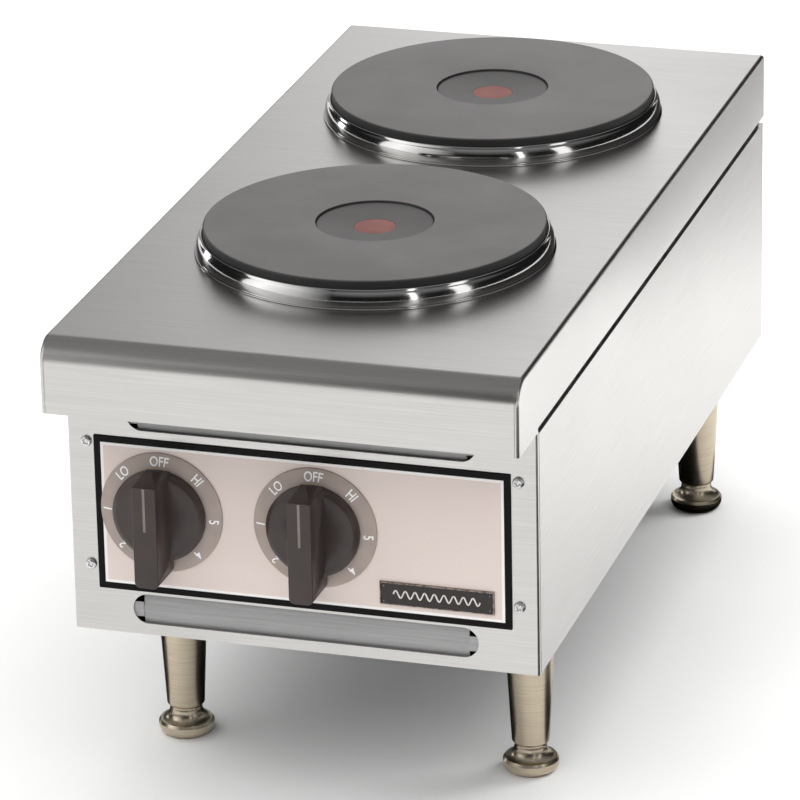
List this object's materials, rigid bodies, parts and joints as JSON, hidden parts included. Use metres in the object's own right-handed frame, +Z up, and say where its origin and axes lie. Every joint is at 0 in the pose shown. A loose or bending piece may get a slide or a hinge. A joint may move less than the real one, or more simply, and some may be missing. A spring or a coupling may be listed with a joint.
{
  "type": "electric hot plate",
  "caption": "Countertop electric hot plate with front-to-back cast-iron plates on a stainless deck, front control knobs and adjustable legs.",
  "frame": {"origin": "centre of the rectangle the object covers, on the surface that the feet stand on", "axes": "+X to the operator's right, +Y from the control panel to the back, +Z up"},
  "size_m": [0.305, 0.649, 0.343],
  "materials": {
    "brushed_stainless": "fine lengthwise brushed stainless steel",
    "galvanised_sheet": "plain galvanised steel sheet",
    "cast_iron": "fine-turned, dark heat-blackened iron",
    "marker_red": "matt heat-safe red",
    "polished_trim": "polished stainless trim",
    "overlay_taupe": "satin printed plate, taupe field and black border",
    "badge_black": "gloss black with a bright bevel",
    "dial_taupe": "satin moulded ring with white figures",
    "knob_brown": "dark brown moulded phenolic",
    "pointer_white": "pale inlay",
    "zinc_steel": "bright zinc-plated steel",
    "nickel_leg": "warm satin nickel plating",
    "ceramic": "glazed steatite",
    "brass": "plain brass",
    "phenolic": "black moulded phenolic",
    "wire_sleeve": "woven glass sleeve",
    "rubber_black": "black silicone rubber",
    "element_cement": "pressed magnesia cement"
  },
  "bodies": {
    "casing": {"baffle_grommets": "rubber_black", "bottom_panel": "galvanised_sheet", "bottom_panel_screws": "zinc_steel", "clamp_nuts": "zinc_steel", "clamp_studs": "zinc_steel", "control_overlay": "overlay_taupe", "deck_top": "brushed_stainless", "front_clamp_bar": "zinc_steel", "front_heat_marker": "marker_red", "front_heating_element": "element_cement", "front_left_leg": "nickel_leg", "front_panel": "brushed_stainless", "front_panel_screws": "zinc_steel", "front_plate_cover": "zinc_steel", "front_plate_disc": "cast_iron", "front_plate_terminal_block": "ceramic", "front_plate_wire": "wire_sleeve", "front_right_leg": "nickel_leg", "front_trim_ring": "polished_trim", "ground_lug": "brass", "heat_baffle": "galvanised_sheet", "heat_shield": "galvanised_sheet", "left_dial_plate": "dial_taupe", "left_side_panel": "brushed_stainless", "left_switch_body": "phenolic", "leg_nut_plates": "zinc_steel", "lower_vent_deflector": "brushed_stainless", "mains_terminal_block": "phenolic", "mains_terminal_screws": "brass", "nameplate": "badge_black", "plate_terminal_screws": "brass", "rear_clamp_bar": "zinc_steel", "rear_heat_marker": "marker_red", "rear_heating_element": "element_cement", "rear_left_leg": "nickel_leg", "rear_panel": "brushed_stainless", "rear_panel_screws": "zinc_steel", "rear_plate_cover": "zinc_steel", "rear_plate_disc": "cast_iron", "rear_plate_terminal_block": "ceramic", "rear_plate_wire": "wire_sleeve", "rear_right_leg": "nickel_leg", "rear_trim_ring": "polished_trim", "right_dial_plate": "dial_taupe", "right_side_panel": "brushed_stainless", "right_switch_body": "phenolic", "supply_wire": "wire_sleeve", "switch_nuts": "zinc_steel", "switch_terminals": "brass", "upper_vent_deflector": "brushed_stainless"},
    "left_knob": {"left_knob": "knob_brown", "left_knob_pointer": "pointer_white", "left_switch_shaft": "zinc_steel"},
    "right_knob": {"right_knob": "knob_brown", "right_knob_pointer": "pointer_white", "right_switch_shaft": "zinc_steel"},
    "front_left_foot": {"front_left_foot": "nickel_leg"},
    "front_right_foot": {"front_right_foot": "nickel_leg"},
    "rear_left_foot": {"rear_left_foot": "nickel_leg"},
    "rear_right_foot": {"rear_right_foot": "nickel_leg"}
  },
  "joints": [
    {"name": "left_knob_turn", "type": "hinge", "parent": "casing", "child": "left_knob", "pos_m": [-0.0912, -0.2965, 0.2005], "axis": [0, -1, 0], "continuous": true},
    {"name": "right_knob_turn", "type": "hinge", "parent": "casing", "child": "right_knob", "pos_m": [0.0093, -0.2965, 0.2005], "axis": [0, -1, 0], "continuous": true},
    {"name": "front_left_foot_adjust", "type": "slide", "parent": "casing", "child": "front_left_foot", "axis": [0, 0, -1], "range_m": [0, 0.025]},
    {"name": "front_right_foot_adjust", "type": "slide", "parent": "casing", "child": "front_right_foot", "axis": [0, 0, -1], "range_m": [0, 0.025]},
    {"name": "rear_left_foot_adjust", "type": "slide", "parent": "casing", "child": "rear_left_foot", "axis": [0, 0, -1], "range_m": [0, 0.025]},
    {"name": "rear_right_foot_adjust", "type": "slide", "parent": "casing", "child": "rear_right_foot", "axis": [0, 0, -1], "range_m": [0, 0.025]}
  ]
}
